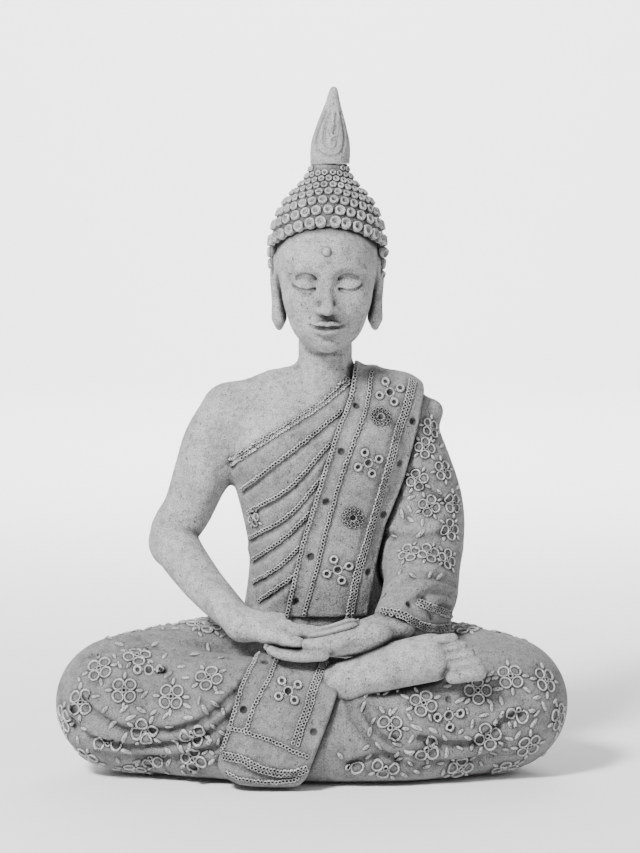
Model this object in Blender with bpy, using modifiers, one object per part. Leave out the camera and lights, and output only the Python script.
"""Seated meditating Buddha figure, cast in polystone as hollow shells that are doweled and bonded.

Metres, +Z up, the figure faces -Y and its own right hand is at -X. The four rest pads stand on Z = 0
and the origin is the centre of the footprint. The flame finial lifts out of the crown on its dowel.
"""

import math

import bmesh
import bpy
from mathutils import Matrix, Vector
from mathutils.bvhtree import BVHTree

# Bond lines and clearances
GAP = 0.0003  # between any two pieces with flat faces
SEAT_CLEARANCE = 0.0006  # how far a piece that is cut to a sculpted neighbour stands off
WALL = 0.006  # least thickness of a hollow casting

# Lap: crossed legs under the robe, with a flat underside
LAP_WIDTH = 0.294  # knee to knee
LAP_DEPTH = 0.164  # shins to seat
LAP_HEIGHT = 0.086  # top of the thighs above the floor
KNEE_RADIUS = 0.037
SHIN_RADIUS = 0.027
FOOTPRINT_LENGTH = 0.236  # of the flat underside
FOOTPRINT_DEPTH = 0.136

# Trunk
TRUNK_X = 0.0035  # the trunk stands slightly towards the figure's left
TRUNK_Y = 0.016
WAIST_SEAT = 0.080  # height of the joint between torso and lap
SHOULDER_HEIGHT = 0.2035  # height of the shoulders' centres
SHOULDER_SPREAD = 0.0530  # shoulders' centres from the trunk's axis
ARMPIT_HEIGHT = 0.1720  # where the arms' flat seats end
CHEST_WIDTH = 0.104
CHEST_DEPTH = 0.064
WAIST_WIDTH = 0.080
WAIST_DEPTH = 0.058
RIGHT_ARMHOLE = 0.0470  # flat seat of the bare arm, from the trunk's axis
LEFT_ARMHOLE = 0.0560  # flat seat of the sleeve, under the edge of the sash

# Arms
UPPER_ARM_RADIUS = 0.0170
ELBOW_RADIUS = 0.0155
WRIST_RADIUS = 0.0095
ELBOW_SPREAD = 0.0835  # right elbow's centre from the trunk's axis
ELBOW_HEIGHT = 0.129
WRIST_HEIGHT = 0.086
WRIST_FORWARD = 0.061  # wrists' centres in front of the trunk's axis
WRIST_SPREAD = 0.041  # wrists' centres from the trunk's axis
SLEEVE_RADIUS = 0.0215  # draped sleeve at the left elbow
SLEEVE_ELBOW_SPREAD = 0.0635

# Head
HEAD_SHIFT = 0.0050  # head's axis from the trunk's, towards the figure's left
HEAD_FORWARD = 0.0150  # head's axis in front of the trunk's
HEAD_WIDTH = 0.060
HEAD_DEPTH = 0.070
HEAD_HEIGHT = 0.082  # chin to the top of the skull
CHIN_HEIGHT = 0.242
NECK_RADIUS = 0.0155
NECK_JOINT = 0.2260  # height of the joint between head and torso
EAR_LENGTH = 0.042
HAIR_THICKNESS = 0.0035
HAIRLINE_FRONT = 0.3110  # height of the hair's edge over the forehead
HAIRLINE_BACK = 0.2650  # and at the nape
KNOT_RADIUS = 0.0225  # top-knot where it leaves the skull
CROWN_HEIGHT = 0.3450  # flat seat of the finial
CROWN_RADIUS = 0.0118
URNA_RADIUS = 0.0026

# Flame finial and its dowel
FINIAL_HEIGHT = 0.0460
FINIAL_RADIUS = 0.0108  # at its foot
FINIAL_LEAN = 2.5  # degrees towards the figure's left
FINIAL_DOWEL_RADIUS = 0.0040
FINIAL_DOWEL_LENGTH = 0.0240

# Sashes, each edge measured across from the trunk's axis
SASH_THICKNESS = 0.0036
SHOULDER_SASH_TOP = (0.0225, 0.0550)
SHOULDER_SASH_CHEST = (0.0080, 0.0530)
SHOULDER_SASH_FOOT = (-0.0190, 0.0300)
SHOULDER_SASH_BACK = (0.0180, 0.0530)
SASH_LOW_END = 0.0960
SASH_BACK_END = 0.0990
LAP_SASH_TOP = (-0.0320, 0.0170)
LAP_SASH_FOOT = (-0.0560, -0.0080)

# Base: rest pads, plate, screws and drain hole
PAD_RADIUS = 0.0085
PAD_THICKNESS = 0.0020
PAD_SPREAD_X = 0.0600  # pads' centres from the plate's middle
PAD_SPREAD_Y = 0.0260
PLATE_LENGTH = 0.1900
PLATE_DEPTH = 0.0900
PLATE_CORNER = 0.0350
PLATE_THICKNESS = 0.0040
PLATE_LEDGE = 0.0120  # width of the shelf that the plate is screwed up against
DRAIN_RADIUS = 0.0035
SCREW_RADIUS = 0.0018
SCREW_HEAD_RADIUS = 0.0036
SCREW_HEAD_RIM = 0.0005
SCREW_HEAD_HEIGHT = 0.0024
SCREW_LENGTH = 0.0130
SCREW_INSET = 0.0065  # screws' centres from the plate's edge

# Locating dowels inside the castings
DOWEL_RADIUS = 0.0030
DOWEL_LENGTH = 0.0200
WAIST_DOWEL_SPREAD = 0.0320

# Fineness of the sculpted bodies
COARSE = 0.0032
FINE = 0.0020
SMOOTHING = 5
BIG = 0.6  # side of the blocks that cut along a plane

# Finishes
STONE = (0.36, 0.36, 0.36)
STEEL = (0.62, 0.63, 0.65)
FELT = (0.05, 0.05, 0.055)
RESIN_PLATE = (0.28, 0.28, 0.28)

FIGURE = "buddha_statue"

# Landmarks that follow from the sizes above
FLOOR = PAD_THICKNESS + GAP
TRUNK = Vector((TRUNK_X, TRUNK_Y, 0))
HEAD = TRUNK + Vector((HEAD_SHIFT, -HEAD_FORWARD, 0))
SKULL_RISE = 0.62 * HEAD_HEIGHT
SKULL_HALF_HEIGHT = HEAD_HEIGHT - SKULL_RISE
SKULL = HEAD + Vector((0, 0.002, CHIN_HEIGHT + SKULL_RISE))
CROWN = HEAD + Vector((0.0015, 0.004, CROWN_HEIGHT))
RIGHT_SHOULDER = TRUNK + Vector((-SHOULDER_SPREAD, 0, SHOULDER_HEIGHT))
LEFT_SHOULDER = TRUNK + Vector((SHOULDER_SPREAD, 0, SHOULDER_HEIGHT))
RIGHT_ELBOW = TRUNK + Vector((-ELBOW_SPREAD, -0.005, ELBOW_HEIGHT))
LEFT_ELBOW = TRUNK + Vector((SLEEVE_ELBOW_SPREAD, -0.005, ELBOW_HEIGHT))
RIGHT_WRIST = TRUNK + Vector((-WRIST_SPREAD, -WRIST_FORWARD, WRIST_HEIGHT))
LEFT_WRIST = TRUNK + Vector((WRIST_SPREAD, -WRIST_FORWARD, WRIST_HEIGHT))
KNEE_X = LAP_WIDTH / 2 - KNEE_RADIUS
RIGHT_KNEE = Vector((-KNEE_X, -0.024, FLOOR + KNEE_RADIUS + 0.001))
LEFT_KNEE = Vector((KNEE_X, -0.020, FLOOR + KNEE_RADIUS + 0.001))
LAP_FRONT = -LAP_DEPTH / 2
LAP_BACK = LAP_DEPTH / 2


def clear_scene():
    for leftover in list(bpy.data.objects):
        bpy.data.objects.remove(leftover)


def add_collection(name):
    made = bpy.data.collections.new(name)
    bpy.context.scene.collection.children.link(made)
    return made


def add_finish(name, colour, roughness, metallic=0.0):
    made = bpy.data.materials.new(name)
    made.use_nodes = True
    shader = made.node_tree.nodes["Principled BSDF"]
    shader.inputs["Base Color"].default_value = (*colour, 1)
    shader.inputs["Roughness"].default_value = roughness
    shader.inputs["Metallic"].default_value = metallic
    return made


def add_part(name, mesh):
    made = bpy.data.objects.new(name, mesh)
    PARTS.objects.link(made)
    return made


def as_cutter(obj):
    """Moves a helper out of the figure: it is drawn as wire and not rendered."""
    PARTS.objects.unlink(obj)
    CUTTERS.objects.link(obj)
    obj.hide_render = True
    obj.display_type = "WIRE"
    return obj


def evaluated_mesh(obj):
    graph = bpy.context.evaluated_depsgraph_get()
    graph.update()
    return bpy.data.meshes.new_from_object(obj.evaluated_get(graph))


def triangle_count(mesh):
    mesh.calc_loop_triangles()
    return len(mesh.loop_triangles)


# --- Lumps of clay: every sculpted casting is a cluster of these, fused by a voxel remesh ---


def make_unit_ball():
    shape = bmesh.new()
    bmesh.ops.create_uvsphere(shape, u_segments=24, v_segments=14, radius=1)
    mesh = bpy.data.meshes.new("unit_ball")
    shape.to_mesh(mesh)
    shape.free()
    return mesh


def ball(centre, radii, turn_x=0.0):
    """An ellipsoid, as the matrix that shapes a unit sphere. turn_x is in degrees."""
    spin = Matrix.Rotation(math.radians(turn_x), 4, "X")
    return Matrix.Translation(centre) @ spin @ Matrix.Diagonal((*radii, 1))


def limb(start, end, start_radius, end_radius):
    """A tapered limb with round ends, as a row of balls half a radius apart."""
    steps = max(2, math.ceil((end - start).length / (min(start_radius, end_radius) / 2)))
    row = []
    for i in range(steps + 1):
        t = i / steps
        radius = start_radius + (end_radius - start_radius) * t
        row.append(ball(start.lerp(end, t), (radius, radius, radius)))
    return row


def column(axis, stations):
    """A smooth trunk through (height, half width, half depth) stations, as a stack of flat balls."""
    stack = []
    for (low, wide, deep), (high, next_wide, next_deep) in zip(stations, stations[1:]):
        steps = math.ceil((high - low) / 0.006)
        for i in range(steps):
            t = i / steps
            centre = axis + Vector((0, 0, low + (high - low) * t))
            radii = (wide + (next_wide - wide) * t, deep + (next_deep - deep) * t, 0.013)
            stack.append(ball(centre, radii))
    return stack


def grown(lumps, by):
    """The same lumps with every radius larger by a constant thickness."""
    larger = []
    for lump in lumps:
        centre, turn, radii = lump.decompose()
        size = Matrix.Diagonal((*(radius + by for radius in radii), 1))
        larger.append(Matrix.Translation(centre) @ turn.to_matrix().to_4x4() @ size)
    return larger


def sculpt(name, lumps, triangles, voxel=COARSE):
    """One smooth closed body around overlapping lumps, thinned to about so many triangles."""
    shape = bmesh.new()
    for lump in lumps:
        piece = UNIT_BALL.copy()
        piece.transform(lump)
        shape.from_mesh(piece)
        bpy.data.meshes.remove(piece)
    mesh = bpy.data.meshes.new(name)
    shape.to_mesh(mesh)
    shape.free()
    clay = add_part(name + "_clay", mesh)
    fuse = clay.modifiers.new("fuse", "REMESH")
    fuse.mode = "VOXEL"
    fuse.voxel_size = voxel
    soften = clay.modifiers.new("soften", "SMOOTH")
    soften.factor = 0.5
    soften.iterations = SMOOTHING
    full = triangle_count(evaluated_mesh(clay))
    thin = clay.modifiers.new("thin", "DECIMATE")
    thin.ratio = min(1.0, triangles / full)
    body = evaluated_mesh(clay)
    bpy.data.objects.remove(clay)
    return add_part(name, body)


# --- Turned and flat shapes ---


def turned(name, foot, profile, sides, lean=0.0):
    """A solid of revolution about +Z; the profile is (radius, height) from the top down."""
    mesh = bpy.data.meshes.new(name)
    edges = [(i, i + 1) for i in range(len(profile) - 1)]
    mesh.from_pydata([(radius, 0, height) for radius, height in profile], edges, [])
    made = add_part(name, mesh)
    made.location = foot
    made.rotation_euler = (0, math.radians(lean), 0)
    screw = made.modifiers.new("turn", "SCREW")
    screw.steps = sides
    screw.render_steps = sides
    screw.use_merge_vertices = True
    screw.merge_threshold = 0.00001
    return made


def cylinder(name, start, end, radius, sides):
    """A round bar whose own origin is the middle of its first end."""
    axis = end - start
    place = Matrix.Translation(axis / 2) @ axis.to_track_quat("Z", "Y").to_matrix().to_4x4()
    shape = bmesh.new()
    bmesh.ops.create_cone(
        shape,
        cap_ends=True,
        segments=sides,
        radius1=radius,
        radius2=radius,
        depth=axis.length,
        matrix=place,
    )
    mesh = bpy.data.meshes.new(name)
    shape.to_mesh(mesh)
    shape.free()
    bar = add_part(name, mesh)
    bar.location = start
    return bar


def block(name, low, high, tilt=0.0, pivot=Vector((0, 0, 0))):
    """A box between two corners, then tilted about X through the pivot."""
    shape = bmesh.new()
    place = Matrix.Translation((low + high) / 2) @ Matrix.Diagonal((*(high - low), 1))
    about = Matrix.Translation(pivot)
    spin = about @ Matrix.Rotation(tilt, 4, "X") @ about.inverted()
    bmesh.ops.create_cube(shape, size=1, matrix=spin @ place)
    mesh = bpy.data.meshes.new(name)
    shape.to_mesh(mesh)
    shape.free()
    return add_part(name, mesh)


def flat_plate(name, outline, middle, thickness, upright=False):
    """A filled 2D curve extruded to a plate, lying flat or standing upright in the XZ plane."""
    curve = bpy.data.curves.new(name, "CURVE")
    curve.dimensions = "2D"
    curve.fill_mode = "BOTH"
    curve.extrude = thickness / 2
    line = curve.splines.new("POLY")
    line.points.add(len(outline) - 1)
    for point, (u, v) in zip(line.points, outline):
        point.co = (u, v, 0, 1)
    line.use_cyclic_u = True
    guide = bpy.data.objects.new(name + "_outline", curve)
    PARTS.objects.link(guide)
    mesh = evaluated_mesh(guide)
    bpy.data.objects.remove(guide)
    shape = bmesh.new()
    shape.from_mesh(mesh)
    bmesh.ops.remove_doubles(shape, verts=shape.verts, dist=0.00001)
    bmesh.ops.recalc_face_normals(shape, faces=shape.faces)
    turn = Matrix.Rotation(math.pi / 2, 4, "X") if upright else Matrix.Identity(4)
    bmesh.ops.transform(shape, matrix=Matrix.Translation(middle) @ turn, verts=shape.verts)
    shape.to_mesh(mesh)
    shape.free()
    return add_part(name, mesh)


def rounded_rectangle(length, depth, corner, per_corner=6):
    outline = []
    for quarter, (side_x, side_y) in enumerate(((1, 1), (-1, 1), (-1, -1), (1, -1))):
        for i in range(per_corner + 1):
            angle = math.pi / 2 * (quarter + i / per_corner)
            x = side_x * (length / 2 - corner) + corner * math.cos(angle)
            y = side_y * (depth / 2 - corner) + corner * math.sin(angle)
            outline.append((x, y))
    return outline


# --- Cutting one piece to another ---


def boolean(obj, tool, operation, solver="EXACT"):
    """Cuts a piece with a tool and settles the result before the next cut."""
    cut = obj.modifiers.new("cut", "BOOLEAN")
    cut.operation = operation
    cut.solver = solver
    cut.object = tool
    mesh = evaluated_mesh(obj)
    obj.modifiers.clear()
    obj.data = mesh


def carve(obj, tool):
    boolean(obj, tool, "DIFFERENCE")


def swollen_copy(obj, name, by):
    """A cutter shaped like a piece as it is now, larger all round."""
    copy = add_part(name, obj.data.copy())
    swell = copy.modifiers.new("swell", "DISPLACE")
    swell.mid_level = 0
    swell.strength = by
    return as_cutter(copy)


def seat_on(obj, *neighbours):
    """Cuts a piece back to the faces of its neighbours, less a bond line.

    Two sculpted skins that lie this close defeat the exact solver, so these cuts use the manifold one.
    A swollen skin can dip below the real one at a sharp rim, so the real one is cut away as well.
    """
    for neighbour in neighbours:
        room = swollen_copy(neighbour, obj.name + "_room_for_" + neighbour.name, SEAT_CLEARANCE)
        boolean(obj, room, "DIFFERENCE", "MANIFOLD")
        boolean(obj, neighbour, "DIFFERENCE", "MANIFOLD")


def cut_off_below(obj, height):
    low, high = Vector((-BIG, -BIG, -BIG)), Vector((BIG, BIG, height))
    carve(obj, as_cutter(block(obj.name + "_underside", low, high)))


def cut_off_above(obj, height):
    low, high = Vector((-BIG, -BIG, height)), Vector((BIG, BIG, BIG))
    carve(obj, as_cutter(block(obj.name + "_top", low, high)))


def cut_off_beyond(obj, x, side, lowest):
    """Removes what lies beyond a vertical plane and above a height; side is -1 or +1."""
    low = Vector((min(x, x + side * BIG), -BIG, lowest))
    high = Vector((max(x, x + side * BIG), BIG, BIG))
    carve(obj, as_cutter(block(obj.name + "_flat", low, high)))


def drill(obj, name, start, end, radius, sides=16):
    carve(obj, as_cutter(cylinder(name, start, end, radius, sides)))


def keep_largest_body(obj):
    """Drops any crumb that the cuts have parted from a piece."""
    shape = bmesh.new()
    shape.from_mesh(obj.data)
    unseen = set(shape.verts)
    bodies = []
    while unseen:
        front = [unseen.pop()]
        body = set(front)
        while front:
            vert = front.pop()
            for edge in vert.link_edges:
                other = edge.other_vert(vert)
                if other in unseen:
                    unseen.remove(other)
                    body.add(other)
                    front.append(other)
        bodies.append(body)
    largest = max(bodies, key=len)
    crumbs = [vert for vert in shape.verts if vert not in largest]
    bmesh.ops.delete(shape, geom=crumbs, context="VERTS")
    shape.to_mesh(obj.data)
    shape.free()


def surface_point(obj, start, direction):
    """Where a ray first meets a piece."""
    graph = bpy.context.evaluated_depsgraph_get()
    graph.update()
    tree = BVHTree.FromObject(obj, graph)
    return tree.ray_cast(start, direction)[0]


# --- The clay of each casting ---


def torso_lumps():
    chest, chest_y = CHEST_WIDTH / 2, CHEST_DEPTH / 2
    waist, waist_y = WAIST_WIDTH / 2, WAIST_DEPTH / 2
    rise = SHOULDER_HEIGHT - WAIST_SEAT
    lumps = column(TRUNK, [
        (WAIST_SEAT - 0.006, waist * 1.04, waist_y * 1.04),
        (WAIST_SEAT + 0.20 * rise, waist * 0.98, waist_y),
        (WAIST_SEAT + 0.45 * rise, waist * 1.08, waist_y * 1.03),
        (WAIST_SEAT + 0.78 * rise, chest, chest_y),
        (SHOULDER_HEIGHT - 0.012, chest, chest_y * 0.97),
        (SHOULDER_HEIGHT, chest * 0.86, chest_y * 0.78),
    ])
    neck_foot = Vector((HEAD.x - 0.001, TRUNK_Y - 0.003, SHOULDER_HEIGHT + 0.015))
    for shoulder in (RIGHT_SHOULDER, LEFT_SHOULDER):
        lumps += limb(neck_foot, shoulder, NECK_RADIUS, UPPER_ARM_RADIUS + 0.001)
    return lumps


def neck_lumps():
    foot = Vector((HEAD.x - 0.001, TRUNK_Y - 0.003, SHOULDER_HEIGHT + 0.004))
    top = HEAD + Vector((-0.001, 0.006, CHIN_HEIGHT + 0.014))
    return limb(foot, top, NECK_RADIUS * 1.14, NECK_RADIUS)


def lap_lumps():
    ankle = Vector((0.030, LAP_FRONT + SHIN_RADIUS + 0.006, FLOOR + SHIN_RADIUS + 0.016))
    low_ankle = Vector((-0.030, LAP_FRONT + SHIN_RADIUS + 0.004, FLOOR + SHIN_RADIUS))
    hips = Vector((TRUNK_X, LAP_BACK - 0.055, LAP_HEIGHT * 0.52))
    lumps = [
        ball(hips, (0.080, 0.055, LAP_HEIGHT * 0.50)),
        ball(Vector((0, -0.024, 0.034)), (0.090, 0.052, 0.040)),
        ball(Vector((0, 0, FLOOR + 0.006)), (FOOTPRINT_LENGTH / 2, FOOTPRINT_DEPTH / 2, 0.046)),
    ]
    for knee, side, foot_end in ((RIGHT_KNEE, -1, ankle), (LEFT_KNEE, 1, low_ankle)):
        thigh = Vector((side * 0.050, 0.024, LAP_HEIGHT - KNEE_RADIUS + 0.001))
        shin_top = knee + Vector((-side * 0.008, -0.013, -0.004))
        lumps += limb(thigh, knee, KNEE_RADIUS, KNEE_RADIUS)
        lumps += limb(shin_top, foot_end, KNEE_RADIUS * 0.92, SHIN_RADIUS)
    return lumps


def head_lumps():
    half, deep = HEAD_WIDTH / 2, HEAD_DEPTH / 2
    jaw = HEAD + Vector((0, -deep * 0.22, CHIN_HEIGHT + 0.36 * HEAD_HEIGHT))
    chin = HEAD + Vector((0, -deep * 0.62, CHIN_HEIGHT + 0.011))
    nose = HEAD + Vector((0, -deep * 0.95, CHIN_HEIGHT + 0.36 * HEAD_HEIGHT))
    lumps = [
        ball(SKULL, (half, deep, SKULL_HALF_HEIGHT)),
        ball(jaw, (half * 0.94, deep * 0.78, 0.0300)),
        ball(chin, (0.0130, 0.0110, 0.0110)),
        ball(nose, (0.0046, 0.0060, 0.0105), -12),
    ]
    for side in (-1, 1):
        ear = HEAD + Vector((side * (half + 0.0015), 0.005, CHIN_HEIGHT + 0.50 * HEAD_HEIGHT))
        lobe = ear + Vector((side * -0.003, -0.003, -EAR_LENGTH * 0.66))
        lumps.append(ball(ear, (0.0046, 0.0095, EAR_LENGTH * 0.32)))
        lumps += limb(ear, lobe, 0.0046, 0.0050)
    return lumps + neck_lumps()


def hair_lumps():
    half, deep = HEAD_WIDTH / 2 + HAIR_THICKNESS, HEAD_DEPTH / 2 + HAIR_THICKNESS
    knot = SKULL + Vector((0, 0.003, SKULL_HALF_HEIGHT - 0.004))
    top = CROWN + Vector((0, 0, 0.004))
    return [
        ball(SKULL, (half, deep, SKULL_HALF_HEIGHT + HAIR_THICKNESS)),
        *limb(knot, top, KNOT_RADIUS, CROWN_RADIUS),
    ]


def right_arm_lumps():
    return [
        *limb(RIGHT_SHOULDER, RIGHT_ELBOW, UPPER_ARM_RADIUS, ELBOW_RADIUS),
        *limb(RIGHT_ELBOW, RIGHT_WRIST, ELBOW_RADIUS, WRIST_RADIUS),
    ]


def sleeve_lumps():
    cuff = LEFT_WRIST + Vector((0.006, 0.004, 0.002))
    drape = LEFT_ELBOW + Vector((-0.012, -0.006, -0.002))
    return [
        *limb(LEFT_SHOULDER, LEFT_ELBOW, UPPER_ARM_RADIUS, SLEEVE_RADIUS),
        *limb(LEFT_ELBOW, cuff, SLEEVE_RADIUS, WRIST_RADIUS + 0.004),
        ball(drape, (0.024, 0.022, 0.044)),
    ]


def hand_lumps(wrist, side, palm_drop):
    """An open hand, palm up, whose fingers point across the lap. side is +1 to point at +X."""
    palm = wrist + Vector((side * 0.026, -0.008, -palm_drop))
    lumps = limb(wrist + Vector((-side * 0.006, 0.004, 0)), palm, WRIST_RADIUS, 0.0080)
    lumps.append(ball(palm, (0.0200, 0.0130, 0.0074)))
    for i in range(4):
        across = 0.0066 * i - 0.0100
        root = palm + Vector((side * 0.004, across + 0.002, 0.001))
        knuckle = palm + Vector((side * 0.019, across, 0.001))
        tip = knuckle + Vector((side * (0.021 - 0.0013 * abs(i - 1)), 0.0012, 0.002))
        lumps += limb(root, knuckle, 0.0052, 0.0048)
        lumps += limb(knuckle, tip, 0.0048, 0.0040)
    thumb_root = palm + Vector((-side * 0.008, -0.0085, 0.003))
    thumb_tip = palm + Vector((side * 0.013, -0.0120, 0.0080))
    return lumps + limb(thumb_root, thumb_tip, 0.0062, 0.0045)


def foot_lumps():
    heel = Vector((0.036, LAP_FRONT + 0.018, LAP_HEIGHT - 0.026))
    tread = heel + Vector((0.040, 0.004, 0.005))
    lumps = [
        ball(heel, (0.0165, 0.0135, 0.0135), -35),
        *limb(heel, tread, 0.0130, 0.0130),
        ball(tread, (0.0150, 0.0190, 0.0105), -35),
    ]
    for i in range(5):
        root = tread + Vector((0.006 - 0.0030 * i, 0.0062 * i - 0.0110, 0.0046 * i - 0.0060))
        tip = root + Vector((0.0150 - 0.0012 * i, 0.0005, 0.0015))
        lumps += limb(root, tip, 0.0060 - 0.0004 * i, 0.0056 - 0.0005 * i)
    return lumps


# --- Castings ---


def make_lap(torso):
    lap = sculpt("lap_casting", lap_lumps(), 1100)
    cut_off_below(lap, FLOOR)
    seat_on(lap, torso)
    return lap


def hollow_lap(lap):
    """The cavity opens below to the plate's recess and above to the torso."""
    half_x, half_y = PLATE_LENGTH / 2 - PLATE_LEDGE, PLATE_DEPTH / 2 - PLATE_LEDGE
    core = [
        ball(Vector((0, 0, 0)), (half_x, half_y, LAP_HEIGHT * 0.60)),
        *limb(TRUNK + Vector((0, -0.004, 0.030)), TRUNK + Vector((0, 0, WAIST_SEAT)), 0.020, 0.018),
    ]
    carve(lap, as_cutter(sculpt("lap_core", core, 260)))
    outline = rounded_rectangle(PLATE_LENGTH + 2 * GAP, PLATE_DEPTH + 2 * GAP, PLATE_CORNER + GAP)
    recess = flat_plate("plate_recess", outline, Vector((0, 0, 0)), 2 * (FLOOR + PLATE_THICKNESS + GAP))
    carve(lap, as_cutter(recess))


def make_torso():
    torso = sculpt("torso_casting", torso_lumps() + neck_lumps(), 1100)
    cut_off_below(torso, WAIST_SEAT)
    cut_off_above(torso, NECK_JOINT)
    cut_off_beyond(torso, TRUNK_X - RIGHT_ARMHOLE, -1, ARMPIT_HEIGHT)
    cut_off_beyond(torso, TRUNK_X + LEFT_ARMHOLE, 1, ARMPIT_HEIGHT)
    return torso


def hollow_torso(torso):
    chest = TRUNK + Vector((0, 0, SHOULDER_HEIGHT - 0.026))
    core = limb(TRUNK + Vector((0, 0, WAIST_SEAT)), chest, 0.018, CHEST_DEPTH / 2 - WALL - 0.002)
    core.append(ball(chest, (CHEST_WIDTH / 2 - 0.018, CHEST_DEPTH / 2 - WALL - 0.001, 0.026)))
    carve(torso, as_cutter(sculpt("torso_core", core, 200)))


def make_head():
    head = sculpt("head_casting", head_lumps(), 1000, FINE)
    cut_off_below(head, NECK_JOINT + GAP)
    return head


def hollow_head(head):
    radii = (HEAD_WIDTH / 2 - WALL, HEAD_DEPTH / 2 - WALL, SKULL_HALF_HEIGHT - WALL)
    carve(head, as_cutter(sculpt("head_core", [ball(SKULL, radii)], 160)))
    drill(head, "pour_hole", SKULL, SKULL + Vector((0, 0, BIG)), HEAD_WIDTH / 5)


def make_hair_cap(head):
    cap = sculpt("hair_cap", hair_lumps(), 620, FINE)
    slope = math.atan2(HAIRLINE_FRONT - HAIRLINE_BACK, HEAD_DEPTH)
    edge = HEAD + Vector((0, -HEAD_DEPTH / 2, HAIRLINE_FRONT))
    low, high = edge + Vector((-BIG, -BIG, -BIG)), edge + Vector((BIG, BIG, 0))
    carve(cap, as_cutter(block("hairline", low, high, -slope, edge)))
    cut_off_above(cap, CROWN_HEIGHT)
    seat_on(cap, head)
    keep_largest_body(cap)
    return cap


def make_arm(name, lumps, triangles, seat_x, side, torso):
    """An arm with a flat seat against the armhole, cut to the torso's side below it."""
    arm = sculpt(name, lumps, triangles, 0.0024)
    cut_off_beyond(arm, seat_x + side * GAP, -side, ARMPIT_HEIGHT)
    seat_on(arm, torso)
    return arm


def make_hand(name, wrist, side, palm_drop, neighbours):
    hand = sculpt(name, hand_lumps(wrist, side, palm_drop), 560, 0.0015)
    cut_off_beyond(hand, wrist.x - side * 0.001, -side, 0)
    seat_on(hand, *neighbours)
    keep_largest_body(hand)
    return hand


def sash_band(name, rows, near, far):
    """The prism that a sash is cut with: rows of (height, inner edge, outer edge)."""
    outline = [(TRUNK_X + inner, height) for height, inner, outer in rows]
    outline += [(TRUNK_X + outer, height) for height, inner, outer in reversed(rows)]
    return flat_plate(name, outline, Vector((0, (near + far) / 2, 0)), far - near, upright=True)


def make_shoulder_sash(neighbours):
    """Hangs over the left shoulder, in front down to the lap and behind to below the waist."""
    sash = sculpt("shoulder_sash", grown(torso_lumps(), SASH_THICKNESS), 1100)
    top = (BIG / 2, *SHOULDER_SASH_TOP)
    shoulder = (SHOULDER_HEIGHT + 0.020, *SHOULDER_SASH_TOP)
    chest = (SHOULDER_HEIGHT - 0.020, *SHOULDER_SASH_CHEST)
    front = [top, shoulder, chest, (SASH_LOW_END, *SHOULDER_SASH_FOOT)]
    back = [top, (SHOULDER_HEIGHT, *SHOULDER_SASH_BACK), (SASH_BACK_END, *SHOULDER_SASH_BACK)]
    band = sash_band("front_band", front, -BIG / 2, TRUNK_Y)
    boolean(band, as_cutter(sash_band("back_band", back, TRUNK_Y - 0.001, BIG / 2)), "UNION")
    boolean(sash, as_cutter(band), "INTERSECT")
    seat_on(sash, *neighbours)
    keep_largest_body(sash)
    return sash


def make_lap_sash(neighbours):
    """Continues the shoulder sash from under the hands over the crossed shins to the floor."""
    sash = sculpt("lap_sash", grown(lap_lumps(), SASH_THICKNESS), 1100)
    rows = [(LAP_HEIGHT, *LAP_SASH_TOP), (LAP_HEIGHT * 0.86, *LAP_SASH_TOP), (FLOOR, *LAP_SASH_FOOT)]
    band = sash_band("lap_band", rows, -BIG / 2, LAP_FRONT * 0.45)
    boolean(sash, as_cutter(band), "INTERSECT")
    seat_on(sash, *neighbours)
    keep_largest_body(sash)
    return sash


def make_urna(head):
    height = CHIN_HEIGHT + 0.66 * HEAD_HEIGHT
    forehead = surface_point(head, Vector((HEAD.x, -BIG, height)), Vector((0, 1, 0)))
    bead = sculpt("urna_bead", [ball(forehead, (URNA_RADIUS, URNA_RADIUS, URNA_RADIUS))], 80, 0.0006)
    seat_on(bead, head)
    return bead


# --- Turned, flat and bought-in pieces ---


def make_finial(cap):
    """The flame and the dowel it stands on; both ride on the lift-out joint."""
    shape = ((0.00, 1.00), (0.08, 1.06), (0.20, 1.08), (0.34, 1.02), (0.50, 0.86), (0.66, 0.66),
             (0.80, 0.47), (0.91, 0.31), (0.97, 0.19))
    profile = [(FINIAL_RADIUS * radius, FINIAL_HEIGHT * height) for height, radius in reversed(shape)]
    foot = CROWN + Vector((0, 0, GAP))
    flame = turned("flame_finial", foot, [(0, FINIAL_HEIGHT), *profile, (0, 0)], 20, FINIAL_LEAN)
    cut_off_below(flame, foot.z)
    half = Vector((0, 0, FINIAL_DOWEL_LENGTH / 2))
    slack = Vector((0, 0, GAP))
    bore = FINIAL_DOWEL_RADIUS + GAP
    drill(flame, "flame_socket", foot - half, foot + half + slack, bore)
    drill(cap, "crown_socket", foot - half - slack, foot + half, bore)
    cylinder("finial_dowel", foot - half, foot + half, FINIAL_DOWEL_RADIUS, 16)


def screw_profile(clearance):
    """A countersunk screw, or the room for it, from the tip down to the head."""
    shank, head = SCREW_RADIUS + clearance, SCREW_HEAD_RADIUS + clearance
    return [
        (0, SCREW_LENGTH + clearance),
        (shank, SCREW_LENGTH - SCREW_RADIUS),
        (shank, SCREW_HEAD_HEIGHT + clearance),
        (head, SCREW_HEAD_RIM + clearance),
        (head, 0),
    ]


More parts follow.
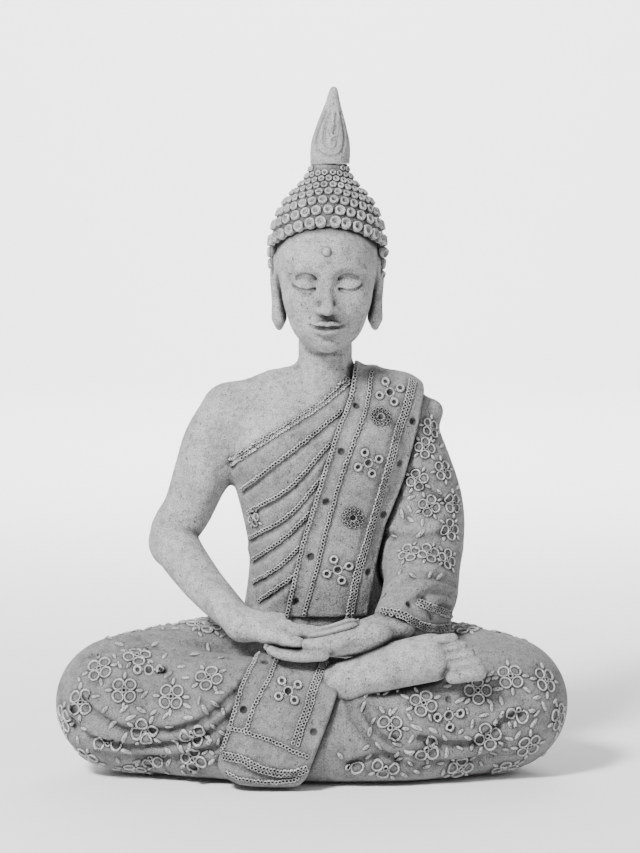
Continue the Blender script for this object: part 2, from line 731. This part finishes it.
def make_base(lap):
    """A plate screwed up into the lap's recess, and four pads under it."""
    outline = rounded_rectangle(PLATE_LENGTH, PLATE_DEPTH, PLATE_CORNER)
    middle = Vector((0, 0, FLOOR + PLATE_THICKNESS / 2))
    plate = flat_plate("base_plate", outline, middle, PLATE_THICKNESS)
    drill(plate, "drain_hole", Vector((0, 0, -0.01)), Vector((0, 0, 0.02)), DRAIN_RADIUS, 12)
    inset = PLATE_CORNER - (PLATE_CORNER - SCREW_INSET) * math.cos(math.pi / 4)
    for number, (side_x, side_y) in enumerate(((-1, -1), (1, -1), (1, 1), (-1, 1)), start=1):
        foot_x, foot_y = side_x * (PLATE_LENGTH / 2 - inset), side_y * (PLATE_DEPTH / 2 - inset)
        foot = Vector((foot_x, foot_y, FLOOR))
        turned(f"base_screw_{number}", foot, [*screw_profile(0), (0, 0)], 12)
        head = SCREW_HEAD_RADIUS + GAP
        room_profile = [*screw_profile(GAP), (head, -0.002), (0, -0.002)]
        room = as_cutter(turned(f"screw_room_{number}", foot, room_profile, 12))
        carve(plate, room)
        carve(lap, room)
        pad = Vector((side_x * PAD_SPREAD_X, side_y * PAD_SPREAD_Y, 0))
        top = pad + Vector((0, 0, PAD_THICKNESS))
        cylinder(f"rest_pad_{number}", pad, top, PAD_RADIUS, 20)


def make_dowel(name, middle, along, first, second):
    """A steel dowel half in each of two castings."""
    half, slack = along * DOWEL_LENGTH / 2, along * GAP
    start, end = middle - half, middle + half
    room = cylinder(name + "_room", start - slack, end + slack, DOWEL_RADIUS + GAP, 12)
    as_cutter(room)
    carve(first, room)
    carve(second, room)
    cylinder(name, start, end, DOWEL_RADIUS, 12)


def make_dowels(torso, lap, head, right_arm, left_sleeve):
    up, across = Vector((0, 0, 1)), Vector((1, 0, 0))
    for name, side in (("waist_dowel_right", -1), ("waist_dowel_left", 1)):
        middle = TRUNK + Vector((side * WAIST_DOWEL_SPREAD, 0, WAIST_SEAT))
        make_dowel(name, middle, up, torso, lap)
    neck = Vector((HEAD.x - 0.001, TRUNK_Y - 0.005, NECK_JOINT))
    make_dowel("neck_dowel", neck, up, head, torso)
    right = Vector((TRUNK_X - RIGHT_ARMHOLE, TRUNK_Y, SHOULDER_HEIGHT))
    make_dowel("right_arm_dowel", right, across, right_arm, torso)
    left = Vector((TRUNK_X + LEFT_ARMHOLE, TRUNK_Y, SHOULDER_HEIGHT))
    make_dowel("left_arm_dowel", left, across, left_sleeve, torso)


# --- Assembly ---


def centre_on_floor(parts):
    """Moves everything so that the middle of the footprint is the origin."""
    graph = bpy.context.evaluated_depsgraph_get()
    graph.update()
    corners = []
    for obj in parts:
        seen = obj.evaluated_get(graph)
        corners += [seen.matrix_world @ Vector(corner) for corner in seen.bound_box]
    middle = [(min(c[i] for c in corners) + max(c[i] for c in corners)) / 2 for i in (0, 1)]
    shift = Vector((-middle[0], -middle[1], 0))
    for obj in [*parts, *CUTTERS.objects]:
        obj.location = obj.location + shift


def paint(obj):
    if "dowel" in obj.name or "screw" in obj.name:
        chosen = STEEL_FINISH
    elif "pad" in obj.name:
        chosen = FELT_FINISH
    elif "plate" in obj.name:
        chosen = PLATE_FINISH
    else:
        chosen = STONE_FINISH
    obj.data.materials.clear()
    obj.data.materials.append(chosen)


def build():
    torso = make_torso()
    head = make_head()
    cap = make_hair_cap(head)
    lap = make_lap(torso)
    right_arm = make_arm(
        "right_arm", right_arm_lumps(), 520, TRUNK_X - RIGHT_ARMHOLE, -1, torso
    )
    left_sleeve = make_arm(
        "left_sleeve", sleeve_lumps(), 620, TRUNK_X + LEFT_ARMHOLE, 1, torso
    )
    seat_on(right_arm, lap)
    seat_on(left_sleeve, lap)
    keep_largest_body(right_arm)
    left_hand = make_hand("left_hand", LEFT_WRIST, -1, 0.009, (left_sleeve, lap, torso))
    right_hand = make_hand("right_hand", RIGHT_WRIST, 1, 0.001, (right_arm, left_hand, lap, torso))
    foot = sculpt("right_foot", foot_lumps(), 560, 0.0016)
    seat_on(foot, lap, left_hand, right_hand)
    keep_largest_body(foot)
    shoulder_sash = make_shoulder_sash((torso, head, lap, left_hand, right_hand))
    seat_on(left_sleeve, shoulder_sash, foot)
    keep_largest_body(left_sleeve)
    make_lap_sash((lap, foot, left_hand, right_hand, torso))
    make_urna(head)
    make_finial(cap)
    make_dowels(torso, lap, head, right_arm, left_sleeve)
    make_base(lap)
    hollow_lap(lap)
    hollow_torso(torso)
    hollow_head(head)
    parts = list(PARTS.objects)
    for obj in parts:
        paint(obj)
    centre_on_floor(parts)


clear_scene()
PARTS = add_collection(FIGURE)
CUTTERS = add_collection("cutters")
UNIT_BALL = make_unit_ball()
STONE_FINISH = add_finish("stone", STONE, 0.85)
STEEL_FINISH = add_finish("steel", STEEL, 0.35, 1.0)
FELT_FINISH = add_finish("felt", FELT, 0.95)
PLATE_FINISH = add_finish("plate", RESIN_PLATE, 0.7)
build()
